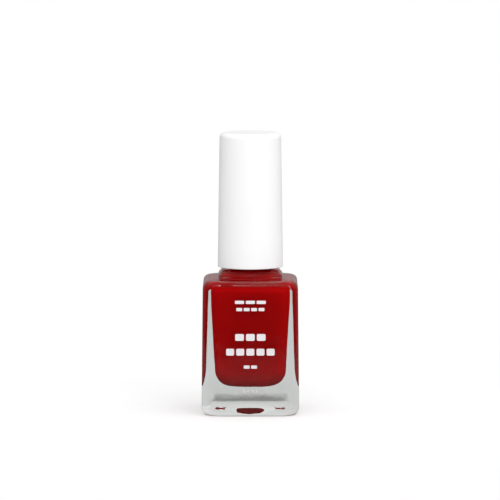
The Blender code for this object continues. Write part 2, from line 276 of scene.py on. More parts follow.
def roundedPath(points, arcSteps=10, closed=False):
    # the outline with an arc at each filleted point and a support row beside each arc
    support = 0.12 * mm
    count = len(points)
    entries = []
    for index, here in enumerate(points):
        ends = index in (0, count - 1) and not closed
        if ends or here["fillet"] == 0.0:
            entries.append([here])
            continue
        before = points[index - 1]
        after = points[(index + 1) % count]
        corner = Vector((here["half"], here["z"]))
        inward = Vector((before["half"], before["z"])) - corner
        outward = Vector((after["half"], after["z"])) - corner
        turn = inward.angle(outward)
        reach = here["fillet"] / math.tan(turn / 2)
        reach = min(reach, inward.length * 0.96, outward.length * 0.96)
        radius = reach * math.tan(turn / 2)
        bisector = (inward.normalized() + outward.normalized()).normalized()
        centre = corner + bisector * (radius / math.sin(turn / 2))
        first = between(here, before, reach / inward.length)
        last = between(here, after, reach / outward.length)
        startArm = Vector((first["half"], first["z"])) - centre
        endArm = Vector((last["half"], last["z"])) - centre
        sweep = startArm.angle(endArm)
        arc = []
        for step in range(arcSteps + 1):
            t = step / arcSteps
            arm = (
                startArm * math.sin((1 - t) * sweep) + endArm * math.sin(t * sweep)
            ) / math.sin(sweep)
            point = between(first, last, t)
            point["half"] = centre.x + arm.x
            point["z"] = centre.y + arm.y
            arc.append(point)
        arc[-1]["rows"] = here["rows"]
        if inward.length - reach > 3 * support:
            arc.insert(0, between(here, before, (reach + support) / inward.length))
        if outward.length - reach > 3 * support:
            arc[-1]["rows"] = 0.0
            arc.append(between(here, after, (reach + support) / outward.length))
            arc[-1]["rows"] = here["rows"]
        entries.append(arc)
    path = []
    for index, entry in enumerate(entries):
        path += entry
        if entry[-1]["rows"] > 0.0:
            after = entries[(index + 1) % count][0]
            span = math.dist(
                (entry[-1]["half"], entry[-1]["z"]), (after["half"], after["z"])
            )
            steps = max(1, round(span / entry[-1]["rows"]))
            path += [between(entry[-1], after, step / steps) for step in range(1, steps)]
    return path


def squareSection(half, corner):
    # one quarter, points gather towards the corner so that the flats shade flat
    flat = half - corner
    steps = ringSteps["flat"]
    ease = [1 - (1 - step / steps) ** 2.2 for step in range(steps)]
    points = [(half, flat * t) for t in ease]
    for step in range(ringSteps["corner"] + 1):
        angle = math.pi / 2 * step / ringSteps["corner"]
        points.append((flat + corner * math.cos(angle), flat + corner * math.sin(angle)))
    points += [(flat * t, half) for t in reversed(ease[1:])]
    return points


def section(entry, lift=None):
    quarter = 2 * ringSteps["flat"] + ringSteps["corner"]
    square = squareSection(entry["half"], min(entry["corner"], entry["half"] * 0.98))
    ring = []
    for index in range(4 * quarter):
        side, place = divmod(index, quarter)
        angle = 2 * math.pi * index / (4 * quarter)
        radius = entry["half"]
        if lift:
            radius += lift(angle, entry)
        circle = Vector((radius * math.cos(angle), radius * math.sin(angle)))
        turn = side * math.pi / 2
        x, y = square[place]
        point = Vector(
            (x * math.cos(turn) - y * math.sin(turn), x * math.sin(turn) + y * math.cos(turn))
        ).lerp(circle, entry["roundness"])
        ring.append(Vector((point.x, point.y, entry["z"])))
    return ring


def skin(name, rings, closed=False):
    # rings to a mesh, each open end drawn together to its middle point
    bm = bmesh.new()
    loops = [[bm.verts.new(point) for point in ring] for ring in rings]
    pairs = list(zip(loops, loops[1:]))
    if closed:
        pairs.append((loops[-1], loops[0]))
    for lower, upper in pairs:
        for index in range(len(lower)):
            after = (index + 1) % len(lower)
            bm.faces.new((lower[index], lower[after], upper[after], upper[index]))
    if not closed:
        for loop in (loops[0], loops[-1]):
            middle = sum((vert.co for vert in loop), Vector()) / len(loop)
            pole = bm.verts.new(middle)
            for index in range(len(loop)):
                bm.faces.new((loop[index], loop[(index + 1) % len(loop)], pole))
    bmesh.ops.recalc_face_normals(bm, faces=bm.faces)
    return meshObject(name, bm)


def meshObject(name, bm):
    mesh = bpy.data.meshes.new(name)
    bm.to_mesh(mesh)
    bm.free()
    mesh.shade_smooth()
    return link(name, mesh)


def turned(name, points, arcSteps=6, closed=False, lift=None):
    path = roundedPath(points, arcSteps, closed)
    return skin(name, [section(entry, lift) for entry in path], closed)


def place(piece, body, slotName, *nodes):
    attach(piece, body)
    if nodes:
        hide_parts(*nodes)


# geometry node trees for what repeats

socketKinds = {int: "NodeSocketInt", float: "NodeSocketFloat"}


def newTree(name, inputs):
    # a tree with named inputs; "Geometry" brings in what its object already holds
    tree = bpy.data.node_groups.new(name, "GeometryNodeTree")
    faces = tree.interface.new_socket
    faces("Geometry", in_out="OUTPUT", socket_type="NodeSocketGeometry")
    faces("Geometry", in_out="INPUT", socket_type="NodeSocketGeometry")
    for socket, value in inputs.items():
        made = faces(socket, in_out="INPUT", socket_type=socketKinds[type(value)])
        made.default_value = value
    faces("Material", in_out="INPUT", socket_type="NodeSocketMaterial")
    return tree, tree.nodes.new("NodeGroupInput").outputs, tree.nodes.new("NodeGroupOutput")


def endTree(tree, given, result, pieces):
    joined = addNode(tree, "GeometryNodeJoinGeometry")
    for made in pieces:
        tree.links.new(made, joined.inputs[0])
    real = addNode(tree, "GeometryNodeRealizeInstances", {0: joined.outputs[0]})
    painted = addNode(
        tree, "GeometryNodeSetMaterial", {0: real.outputs[0], "Material": given["Material"]}
    )
    tree.links.new(painted.outputs[0], result.inputs[0])


def grow(piece, tree, material, values):
    # runs the tree on the object and keeps the result as its plain mesh
    modifier = piece.modifiers.new(tree.name, "NODES")
    modifier.node_group = tree
    values = values | {"Material": material}
    for item in tree.interface.items_tree:
        if item.in_out == "INPUT" and item.name in values:
            modifier[item.identifier] = values[item.name]
    bpy.context.view_layer.update()
    graph = bpy.context.evaluated_depsgraph_get()
    mesh = bpy.data.meshes.new_from_object(piece.evaluated_get(graph))
    piece.modifiers.remove(modifier)
    old = piece.data
    mesh.name = old.name
    piece.data = mesh
    bpy.data.meshes.remove(old)
    mesh.shade_smooth()
    return piece


# shader groups that several materials share

def newGroup(name, inputs, outputs):
    tree = bpy.data.node_groups.new(name, "ShaderNodeTree")
    for socket, value in inputs.items():
        made = tree.interface.new_socket(socket, in_out="INPUT", socket_type="NodeSocketFloat")
        made.default_value = value
    for socket in outputs:
        tree.interface.new_socket(socket, in_out="OUTPUT", socket_type="NodeSocketFloat")
    return tree, tree.nodes.new("NodeGroupInput").outputs, tree.nodes.new("NodeGroupOutput")


def noiseAt(tree, scale, detail=3.0, stretch=None):
    source = addNode(tree, "ShaderNodeTexCoord").outputs["Object"]
    if stretch:
        source = addNode(tree, "ShaderNodeMapping", {"Vector": source, "Scale": stretch}).outputs[0]
    texture = addNode(
        tree, "ShaderNodeTexNoise", {"Vector": source, "Scale": scale, "Detail": detail}
    )
    return texture.outputs[0]


def mapped(tree, value, low, high, fromLow=0.0, fromHigh=1.0, smooth=False):
    return addNode(tree, "ShaderNodeMapRange", {
        "Value": value, "From Min": fromLow, "From Max": fromHigh, "To Min": low, "To Max": high,
    }, interpolation_type="SMOOTHSTEP" if smooth else "LINEAR").outputs["Result"]


def makeGrainGroup():
    # spark-eroded mould grain: fine pits, with a slow drift of gloss and shade
    tree, given, result = newGroup(
        "mouldGrain", {"Scale": 6000.0, "Drift": 120.0}, ["Height", "Gloss", "Shade"]
    )
    fine = noiseAt(tree, given["Scale"], 2.0)
    tree.links.new(fine, result.inputs["Height"])
    tree.links.new(noiseAt(tree, given["Drift"], 2.0), result.inputs["Gloss"])
    tree.links.new(mapped(tree, fine, 0.3, 0.7), result.inputs["Shade"])
    return tree


def makeHandlingGroup():
    # faint scuffs and dust left by handling, as one mask
    tree, given, result = newGroup("handling", {"Amount": 0.3, "Scale": 300.0}, ["Mask"])
    streaks = noiseAt(tree, given["Scale"], 4.0, (1.0, 1.0, 0.25))
    patches = noiseAt(tree, 60.0, 2.0)
    both = nodeMath(tree, "MULTIPLY", streaks, patches)
    sharp = mapped(tree, both, 0.0, 1.0, 0.30, 0.46, smooth=True)
    tree.links.new(nodeMath(tree, "MULTIPLY", sharp, given["Amount"]), result.inputs["Mask"])
    return tree


def makeFilmGroup():
    # where wet lacquer clings: everything below a height, with a ragged upper edge
    tree, given, result = newGroup(
        "lacquerFilm", {"Level": 0.03, "Ragged": 0.002, "Scale": 500.0}, ["Mask"]
    )
    spot = addNode(tree, "ShaderNodeTexCoord").outputs["Object"]
    height = addNode(tree, "ShaderNodeSeparateXYZ", {0: spot}).outputs["Z"]
    paintedShadowRagged = nodeMath(tree, "MULTIPLY", noiseAt(tree, given["Scale"], 2.0), given["Ragged"])
    above = nodeMath(tree, "SUBTRACT", given["Level"], nodeMath(tree, "ADD", height, paintedShadowRagged))
    tree.links.new(nodeMath(tree, "MULTIPLY", above, 4000.0, clamp=True), result.inputs["Mask"])
    return tree


groups = {
    "grain": makeGrainGroup(),
    "handling": makeHandlingGroup(),
    "film": makeFilmGroup(),
}


def shared(tree, name, **values):
    node = addNode(tree, "ShaderNodeGroup", node_tree=groups[name])
    for socket, value in values.items():
        node.inputs[socket].default_value = value
    return node.outputs


def newMaterial(name, **values):
    # a Principled material, sockets given by name with underscores for spaces
    material = bpy.data.materials.new(name)
    material.use_nodes = True
    shader = material.node_tree.nodes["Principled BSDF"]
    for socket, value in values.items():
        if isinstance(value, tuple):
            value = (*value, 1.0)
        shader.inputs[socket.replace("_", " ")].default_value = value
    return material, material.node_tree, shader


def mixColours(tree, factor, a, b):
    node = addNode(tree, "ShaderNodeMix", {"Factor": factor}, data_type="RGBA")
    sockets = [socket for socket in node.inputs if socket.type == "RGBA"]
    for socket, value in zip(sockets, (a, b)):
        if isinstance(value, tuple):
            socket.default_value = (*value, 1.0)
        else:
            tree.links.new(value, socket)
    return [socket for socket in node.outputs if socket.type == "RGBA"][0]


def addBump(tree, shader, height, distance, strength=1.0):
    bump = addNode(tree, "ShaderNodeBump", {"Height": height, "Strength": strength})
    bump.inputs["Distance"].default_value = distance
    tree.links.new(bump.outputs["Normal"], shader.inputs["Normal"])


def plasticMaterial(name, look, film=None, **values):
    # moulded plastic with mould grain and scuffs, and wet lacquer on it below the film's level
    material, tree, shader = newMaterial(name, **values)
    grain = shared(tree, "grain", Scale=look["grain"])
    wear = shared(tree, "handling", Amount=look["scuffs"])["Mask"]
    colour = mixColours(tree, grain["Shade"], look["dark"], look["light"])
    colour = mixColours(tree, wear, colour, tuple(0.8 * part for part in look["dark"]))
    gloss = look["gloss"]
    rough = mapped(tree, grain["Gloss"], gloss - 0.05, gloss + 0.05, 0.3, 0.7)
    if film:
        wet = shared(tree, "film", **film)["Mask"]
        colour = mixColours(tree, wet, colour, lacquer["light"])
        rough = nodeMath(tree, "MULTIPLY_ADD", wet, lacquer["wetGloss"] - gloss, rough)
        tree.links.new(wet, shader.inputs["Coat Weight"])
    tree.links.new(colour, shader.inputs["Base Color"])
    tree.links.new(rough, shader.inputs["Roughness"])
    addBump(tree, shader, grain["Height"], look["bump"])
    return material


# glass bottle and the lacquer in it

glassLow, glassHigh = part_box("glass_bottle")
rimZ = glassHigh.z
bodyHalf = glassHigh.x

neck = {
    "radius": 5.8 * mm,
    "bore": 4.0 * mm,
    "pitch": 25.4 / 12 * mm,
    "threadHeight": 0.65 * mm,
    "threadBase": 0.55 * mm,  # half widths of the ridge
    "threadCrest": 0.25 * mm,
    "turns": 1.5,
    "threadStart": rimZ - 4.8 * mm,
    "runOut": math.radians(40),
    "rowSpacing": 0.1 * mm,
    "rimRound": 0.35 * mm,
}

body = {
    "corner": 1.8 * mm,
    "cornerHold": 1.1,  # fillets below the shoulder down to which the corners stay that sharp
    "shoulderHalf": bodyHalf - 0.30 * mm,
    "shoulderZ": rimZ - 12.7 * mm,
    "shoulderRise": 0.45 * mm,
    "shoulderFillet": 2.0 * mm,
    "shoulderCorner": 4.4 * mm,
    "footWide": 1.5 * mm,  # the rounding of the foot, wide and high
    "footHigh": 2.4 * mm,
    "footCorner": 4.2 * mm,
    "footSteps": 12,
    "squareAbove": 6.0 * mm,  # the corners are at their sharpest from here up
    "pushUpRadius": 8.9 * mm,
    "pushUpDepth": 2.1 * mm,
    "pushUpFlat": 3.4,  # the higher, the flatter its middle
    "pushUpSteps": 13,
    "collarHalf": 8.9 * mm,
    "collarCorner": 4.0 * mm,
    "collarEdgeZ": rimZ - 11.5 * mm,
    "collarTopHalf": 7.9 * mm,
    "collarTopZ": rimZ - 10.3 * mm,
}

cavity = {
    "halfTop": 11.0 * mm,
    "halfFloor": 9.55 * mm,
    "corner": 3.0 * mm,
    "floorZ": 7.3 * mm,
    "floorFillet": 4.7 * mm,
    "dishRadius": 30.0 * mm,
    "ceilingZ": rimZ - 14.6 * mm,
    "ceilingFillet": 1.2 * mm,
    "ceilingCorner": 4.2 * mm,
    "throatHalf": 6.9 * mm,
    "throatCorner": 3.4 * mm,
    "throatTopZ": rimZ - 9.4 * mm,  # where it has narrowed to the bore
    "throatLowZ": rimZ - 12.2 * mm,
    "fillZ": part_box("polish")[1].z,
    "ripple": 0.07 * mm,  # unevenness of blown glass
    "rippleScale": 130.0,
}

glassLook = {
    "tint": (0.93, 0.955, 0.935),
    "smears": 0.05,
    "wave": 0.08 * mm,  # depth of the unevenness that bends reflections
    "waveScale": 210.0,
}

lacquer = {
    "dark": (0.42, 0.0008, 0.0012),
    "light": (0.58, 0.0014, 0.0022),
    "swirl": 160.0,
    "gloss": 0.25,
    "wetGloss": 0.12,
    "grow": 0.03 * mm,  # reaches just into the glass so that no air shows between them
}


def threadLift(angle, z, turns, startZ, phase=0.0):
    # height of the helical ridge above its wall at this angle and height
    lift = 0.0
    for turn in range(math.ceil(turns) + 1):
        along = angle + phase + 2 * math.pi * turn
        if along > turns * 2 * math.pi:
            break
        away = abs(z - startZ - neck["pitch"] * along / (2 * math.pi))
        slope = (neck["threadBase"] - away) / (neck["threadBase"] - neck["threadCrest"])
        slope = max(0.0, min(1.0, slope))
        fromEnd = min(along, turns * 2 * math.pi - along)
        end = max(0.0, min(1.0, fromEnd / neck["runOut"]))
        lift = max(lift, slope * slope * (3 - 2 * slope) * end)
    return lift


def neckLift(angle, entry):
    if abs(entry["half"] - neck["radius"]) > 0.01 * mm:
        return 0.0
    rise = threadLift(angle, entry["z"], neck["turns"], neck["threadStart"])
    return rise * neck["threadHeight"]


def cavityPath(top):
    # from the bore down to the middle of the dished floor
    c = cavity
    path = [
        at(neck["bore"], top),
        at(neck["bore"], c["throatTopZ"], 1.5 * mm, c["throatCorner"], 1.0),
        at(c["throatHalf"], c["throatLowZ"], 1.2 * mm, c["throatCorner"], 0.3),
        at(c["throatHalf"], c["ceilingZ"] + 0.3 * mm, 0.8 * mm, c["throatCorner"], 0.1),
        at(c["halfTop"], c["ceilingZ"], c["ceilingFillet"], c["ceilingCorner"], 0.0),
        at(c["halfTop"] - 0.1 * mm, c["ceilingZ"] - 4.0 * mm, 0.0, c["corner"], 0.0, 1.0 * mm),
        at(c["halfFloor"], c["floorZ"] + 0.5 * mm, c["floorFillet"], c["corner"], 0.0),
    ]
    for half, roundness in ((4.6, 0.55), (3.6, 0.75), (2.4, 0.95), (1.2, 1.0), (0.4, 1.0)):
        drop = c["dishRadius"] - math.sqrt(c["dishRadius"] ** 2 - (half * mm) ** 2)
        path.append(at(half * mm, c["floorZ"] + drop, 0.0, 2.4 * mm, roundness))
    return path


def rippled(ring):
    # moves the points of a cavity section in and out a little, away from the neck
    fade = min(1.0, max(0.0, (cavity["ceilingZ"] - ring[0].z) / (2 * mm)))
    moved = []
    for point in ring:
        side = Vector((point.x, point.y, 0)).normalized()
        amount = noise.noise(point * cavity["rippleScale"]) * cavity["ripple"] * fade
        moved.append(point + side * amount)
    return moved


def glassMaterial():
    material, tree, shader = newMaterial(
        "clearGlass", Base_Color=glassLook["tint"], Transmission_Weight=1.0, IOR=1.52
    )
    smears = shared(tree, "handling", Amount=glassLook["smears"], Scale=400.0)["Mask"]
    tree.links.new(smears, shader.inputs["Roughness"])
    addBump(tree, shader, noiseAt(tree, glassLook["waveScale"], 2.0), glassLook["wave"])
    return material


def lacquerMaterial():
    material, tree, shader = newMaterial(
        "redLacquer", Roughness=lacquer["gloss"], Specular_IOR_Level=0.0
    )
    swirl = noiseAt(tree, lacquer["swirl"], 3.0, (1.0, 1.0, 0.5))
    colour = mixColours(tree, swirl, lacquer["dark"], lacquer["light"])
    tree.links.new(colour, shader.inputs["Base Color"])
    return material


def makeGlass():
    b = body
    outer = []
    for step in range(1, b["pushUpSteps"]):
        t = step / b["pushUpSteps"]
        outer.append(at(b["pushUpRadius"] * t, b["pushUpDepth"] * (1 - t ** b["pushUpFlat"])))
    foot = []
    for step in range(b["footSteps"] + 1):
        turn = math.pi / 2 * step / b["footSteps"]
        foot.append(at(
            bodyHalf - b["footWide"] * (1 - math.sin(turn)), b["footHigh"] * (1 - math.cos(turn)),
            0.0, b["footCorner"], 0.0,
        ))
    outer += [
        at(b["pushUpRadius"], 0.0, 0.3 * mm, b["footCorner"], 1.0),
        at(b["pushUpRadius"] + 0.5 * mm, 0.0, 0.0, b["footCorner"], 0.5),
        *foot,
        at(bodyHalf, b["squareAbove"], 0.0, b["corner"], 0.0),
        at(b["shoulderHalf"], b["shoulderZ"] - b["shoulderFillet"] * b["cornerHold"], 0.0,
           b["corner"], 0.0),
        at(b["shoulderHalf"], b["shoulderZ"], b["shoulderFillet"], b["shoulderCorner"], 0.0),
        at(b["collarHalf"], b["shoulderZ"] + b["shoulderRise"], 0.4 * mm, b["collarCorner"], 0.0),
        at(b["collarHalf"], b["collarEdgeZ"], 0.5 * mm, b["collarCorner"], 0.0),
        at(b["collarTopHalf"], b["collarTopZ"], 0.3 * mm, b["collarCorner"], 0.0),
        at(neck["radius"], b["collarTopZ"] + 0.1 * mm, 0.2 * mm, b["collarCorner"], 1.0,
           neck["rowSpacing"]),
        at(neck["radius"], rimZ, neck["rimRound"]),
        at(neck["bore"], rimZ, neck["rimRound"]),
    ]
    path = roundedPath(outer + cavityPath(rimZ - 1.0 * mm), 10)
    inside = len(roundedPath(outer, 10)) - 1
    rings = []
    for index, entry in enumerate(path):
        ring = section(entry, neckLift)
        rings.append(rippled(ring) if index > inside else ring)
    glass = skin("glass_bottle_clear", rings)
    glass.data.materials.append(glassMaterial())
    place(glass, "bottle", "clear_glass", "glass_bottle")


def makeLacquer():
    # the cavity's own sections up to the fill level
    path = roundedPath(cavityPath(cavity["fillZ"]), 10)
    piece = skin("lacquer", [rippled(section(entry)) for entry in path])
    normals = [vert.normal.copy() for vert in piece.data.vertices]
    for vert, normal in zip(piece.data.vertices, normals):
        vert.co += normal * lacquer["grow"]
    piece.data.materials.append(lacquerMaterial())
    place(piece, "bottle", "red_lacquer", "polish")


makeGlass()
makeLacquer()
print("glass and lacquer made")


# white print on the front, rows of plain dashes

ink = {
    # row: (middle's height, dash length, dash height, gap, number of dashes), all mm but the last
    "rows": {
        "smallUpper": (31.9, 2.5, 0.9, 0.5, 3),
        "smallLower": (29.9, 1.6, 0.9, 0.45, 4),
        "largeUpper": (22.15, 2.4, 1.9, 0.6, 3),
        "largeLower": (18.05, 2.2, 1.9, 0.6, 5),
        "smallShade": (13.9, 1.6, 0.9, 0.45, 2),
    },
    "faintRow": (7.25, 0.7, 0.8, 0.45, 4),
    "thickness": 0.006 * mm,
    "cornerShare": 0.2,  # of the dash's height, as the radius of its corners
    "light": (0.80, 0.76, 0.78),
    "dark": (0.74, 0.69, 0.71),
}


def makeDashTree():
    tree, given, result = newTree("printedDashes", {
        "Count": 3, "Length": 0.002, "Height": 0.0005, "Gap": 0.0005,
        "Thickness": 0.00002, "Front": -0.013, "Middle": 0.02, "Lean": 0.0,
    })
    outline = addNode(tree, "GeometryNodeCurvePrimitiveQuadrilateral", {
        "Width": given["Length"], "Height": given["Height"],
    })
    radius = nodeMath(tree, "MULTIPLY", given["Height"], ink["cornerShare"])
    rounded = addNode(tree, "GeometryNodeFilletCurve", {
        "Curve": outline.outputs[0], "Radius": radius, "Count": 8,
    }, mode="POLY")
    face = addNode(tree, "GeometryNodeFillCurve", {0: rounded.outputs[0]}, mode="NGONS")
    thick = addNode(tree, "GeometryNodeExtrudeMesh", {
        "Mesh": face.outputs[0], "Offset Scale": given["Thickness"], "Individual": False,
    })
    back = addNode(tree, "GeometryNodeFlipFaces", {0: face.outputs[0]})
    dash = addNode(tree, "GeometryNodeJoinGeometry")
    for part in (thick.outputs["Mesh"], back.outputs[0]):
        tree.links.new(part, dash.inputs[0])
    closed = addNode(tree, "GeometryNodeMergeByDistance", {
        0: dash.outputs[0], "Distance": 0.000001,
    })
    pitch = nodeMath(tree, "ADD", given["Length"], given["Gap"])
    span = nodeMath(tree, "MULTIPLY", pitch, nodeMath(tree, "SUBTRACT", given["Count"], 1.0))
    half = nodeMath(tree, "MULTIPLY", span, -0.5)
    first = addNode(tree, "ShaderNodeCombineXYZ", {
        "X": half, "Y": given["Front"], "Z": given["Middle"],
    })
    step = addNode(tree, "ShaderNodeCombineXYZ", {"X": pitch})
    row = addNode(tree, "GeometryNodeMeshLine", {
        "Count": given["Count"], "Start Location": first.outputs[0], "Offset": step.outputs[0],
    }, mode="OFFSET")
    turn = addNode(tree, "ShaderNodeCombineXYZ", {
        "X": nodeMath(tree, "ADD", given["Lean"], math.pi / 2),
    })
    dashes = addNode(tree, "GeometryNodeInstanceOnPoints", {
        "Points": row.outputs[0], "Instance": closed.outputs[0], "Rotation": turn.outputs[0],
    })
    endTree(tree, given, result, [given["Geometry"], dashes.outputs[0]])
    return tree


def inkMaterial(name, cover):
    # screen-printed ink, a little uneven in shade and gloss, and patchy where its cover is below one
    material, tree, shader = newMaterial(name, Specular_IOR_Level=0.4)
    grain = shared(tree, "grain", Scale=4000.0, Drift=900.0)
    colour = mixColours(tree, grain["Gloss"], ink["dark"], ink["light"])
    tree.links.new(colour, shader.inputs["Base Color"])
    tree.links.new(mapped(tree, grain["Gloss"], 0.35, 0.55), shader.inputs["Roughness"])
    if cover < 1.0:
        alpha = mapped(tree, grain["Gloss"], cover - 0.1, cover + 0.1)
        tree.links.new(alpha, shader.inputs["Alpha"])
    addBump(tree, shader, grain["Height"], 0.004 * mm)
    return material


def frontAt(z):
    # half depth of the glass at this height, and how far its face leans back
    rise = body["shoulderZ"] - body["squareAbove"]
    slope = (bodyHalf - body["shoulderHalf"]) / rise
    return bodyHalf - slope * max(0.0, z - body["squareAbove"]), math.atan(slope)


def printRow(piece, tree, material, row):
    middle, length, height, gap, count = row
    front, lean = frontAt(middle * mm)
    grow(piece, tree, material, {
        "Count": count, "Length": length * mm, "Height": height * mm, "Gap": gap * mm,
        "Thickness": ink["thickness"], "Front": -front, "Middle": middle * mm, "Lean": -lean,
    })


def makePrint():
    tree = makeDashTree()
    piece = link("front_print", bpy.data.meshes.new("front_print"))
    material = inkMaterial("whiteInk", 1.0)
    for row in ink["rows"].values():
        printRow(piece, tree, material, row)
    piece.data.shade_flat()
    place(piece, "bottle", "white_cap")
    faint = link("front_print_faint", bpy.data.meshes.new("front_print_faint"))
    printRow(faint, tree, inkMaterial("faintInk", 0.45), ink["faintRow"])
    faint.data.shade_flat()
    place(faint, "bottle", "white_cap")


makePrint()
print("print made")


# white overcap

capLow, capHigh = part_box("overcap")

overcap = {
    "radiusBottom": capHigh.x,
    "radiusTop": capHigh.x - 0.54 * mm,
    "edge": 1.4 * mm,
    "wall": 1.1 * mm,
    "roof": 1.3 * mm,
    "lip": 0.22 * mm,
    "ribs": 12,  # crush ribs that hold the inner cap
    "ribWidth": 0.35 * mm,
    "ribReach": 0.30 * mm,
    "light": (0.88, 0.88, 0.88),
    "dark": (0.84, 0.84, 0.845),
    "gloss": 0.46,
    "grain": 5000.0,
    "bump": 0.006 * mm,
    "scuffs": 0.10,
}


def makeRibTree():
    # upright half-round ribs on a circle, tapered to nothing at both ends
    tree, given, result = newTree("uprightRibs", {
        "Count": 12, "Radius": 0.007, "Bottom": 0.04, "Top": 0.05, "Width": 0.0003, "Taper": 0.15,
    })
    low = addNode(tree, "ShaderNodeCombineXYZ", {"Z": given["Bottom"]})
    high = addNode(tree, "ShaderNodeCombineXYZ", {"Z": given["Top"]})
    line = addNode(tree, "GeometryNodeCurvePrimitiveLine", {
        "Start": low.outputs[0], "End": high.outputs[0],
    })
    points = addNode(tree, "GeometryNodeResampleCurve", {"Curve": line.outputs[0], "Count": 14})
    along = addNode(tree, "GeometryNodeSplineParameter").outputs["Factor"]
    fromMiddle = nodeMath(tree, "ABSOLUTE", nodeMath(tree, "SUBTRACT", along, 0.5))
    left = nodeMath(tree, "SUBTRACT", 0.5, fromMiddle)
    ease = nodeMath(tree, "DIVIDE", left, given["Taper"], clamp=True)
    slim = nodeMath(tree, "MAXIMUM", nodeMath(tree, "SQRT", ease), 0.08)
    profile = addNode(tree, "GeometryNodeCurvePrimitiveCircle", {
        "Resolution": 10, "Radius": given["Width"],
    })
    rib = addNode(tree, "GeometryNodeCurveToMesh", {
        "Curve": points.outputs[0], "Profile Curve": profile.outputs[0],
        "Scale": slim, "Fill Caps": True,
    })
    circle = addNode(tree, "GeometryNodeMeshCircle", {
        "Vertices": given["Count"], "Radius": given["Radius"],
    })
    ribs = addNode(tree, "GeometryNodeInstanceOnPoints", {
        "Points": circle.outputs[0], "Instance": rib.outputs[0],
    })
    endTree(tree, given, result, [given["Geometry"], ribs.outputs[0]])
    return tree


ribTree = makeRibTree()


def makeOvercap():
    c = overcap
    inside = c["radiusTop"] - c["wall"]
    points = [
        at(0.4 * mm, capHigh.z - c["roof"]),
        at(inside, capHigh.z - c["roof"], 0.6 * mm),
        at(c["radiusBottom"] - c["wall"], capLow.z, c["lip"]),
        at(c["radiusBottom"], capLow.z, c["lip"]),
        at(c["radiusTop"], capHigh.z, c["edge"]),
        at(0.4 * mm, capHigh.z),
    ]
    cap = turned("overcap_shell", points, 9)
    material = plasticMaterial("whiteCap", c)
    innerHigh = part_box("inner_cap")[1].z
    grow(cap, ribTree, material, {
        "Count": c["ribs"],
        "Radius": c["radiusBottom"] - c["wall"] - c["ribReach"] + c["ribWidth"],
        "Bottom": capLow.z + 1.5 * mm, "Top": innerHigh + 1.0 * mm,
        "Width": c["ribWidth"], "Taper": 0.12,
    })
    place(cap, "cap", "white_cap", "overcap")


makeOvercap()
print("overcap made")


# threaded inner cap, moulded in natural polypropylene

innerLow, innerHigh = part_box("inner_cap")

innerCap = {
    "radius": innerHigh.x - 0.27 * mm,
    "bore": 6.65 * mm,
    "deck": 1.4 * mm,
    "deckHole": 2.7 * mm,
    "threadHeight": 0.5 * mm,
    "turns": 1.25,
    "threadStart": neck["threadStart"] - neck["pitch"] / 2,
    "ribs": 48,
    "ribWidth": 0.26 * mm,
    "light": (0.80, 0.80, 0.77),
    "dark": (0.72, 0.72, 0.68),
    "gloss": 0.40,
    "grain": 7000.0,
    "bump": 0.003 * mm,
    "scuffs": 0.05,
}


def innerLift(angle, entry):
    if abs(entry["half"] - innerCap["bore"]) > 0.01 * mm:
        return 0.0
    rise = threadLift(angle, entry["z"], innerCap["turns"], innerCap["threadStart"])
    return -rise * innerCap["threadHeight"]


def makeInnerCap():
    c = innerCap
    deckZ = innerHigh.z - c["deck"]
    points = [
        at(c["bore"], innerLow.z, 0.25 * mm, rows=0.12 * mm),
        at(c["bore"], deckZ, 0.4 * mm),
        at(c["deckHole"], deckZ, 0.15 * mm),
        at(c["deckHole"], innerHigh.z, 0.15 * mm),
        at(c["radius"] - 0.1 * mm, innerHigh.z, 0.5 * mm),
        at(c["radius"], innerLow.z, 0.25 * mm),
    ]
    cap = turned("inner_cap_threaded", points, 5, closed=True, lift=innerLift)
    material = plasticMaterial(
        "naturalPolypropylene", c, Subsurface_Weight=0.25, Subsurface_Scale=0.002
    )
    grow(cap, ribTree, material, {
        "Count": c["ribs"], "Radius": c["radius"], "Bottom": innerLow.z + 0.8 * mm,
        "Top": innerHigh.z - 0.9 * mm, "Width": c["ribWidth"], "Taper": 0.1,
    })
    place(cap, "cap", "natural_polypropylene", "inner_cap")


# soft washer between the rim and the brush's flange

linerLow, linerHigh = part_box("sealing_liner")

liner = {
    "inner": 2.05 * mm,
    "edge": 0.12 * mm,
    "dent": 0.06 * mm,  # ring pressed into it by the rim
    "light": (0.78, 0.78, 0.75),
    "dark": (0.66, 0.66, 0.63),
    "gloss": 0.62,
    "grain": 3200.0,
    "bump": 0.02 * mm,
    "scuffs": 0.10,
}


def makeLiner():
    c = liner
    pressed = linerLow.z + c["dent"]
    points = [
        at(c["inner"], linerLow.z, c["edge"]),
        at(neck["bore"] - 0.2 * mm, linerLow.z, 0.1 * mm),
        at(neck["bore"], pressed, 0.1 * mm),
        at(neck["radius"] - 0.1 * mm, pressed, 0.05 * mm),
        at(neck["radius"] + 0.1 * mm, linerLow.z, 0.05 * mm),
        at(linerHigh.x, linerLow.z, c["edge"]),
        at(linerHigh.x, linerHigh.z, c["edge"]),
        at(c["inner"], linerHigh.z, c["edge"]),
    ]
    piece = turned("sealing_liner_foam", points, 4, closed=True)
    piece.data.materials.append(plasticMaterial("linerFoam", c))
    place(piece, "seal", "liner_foam", "sealing_liner")


# stem with its flange and snap-in spigot

stemLow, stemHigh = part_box("brush_stem")

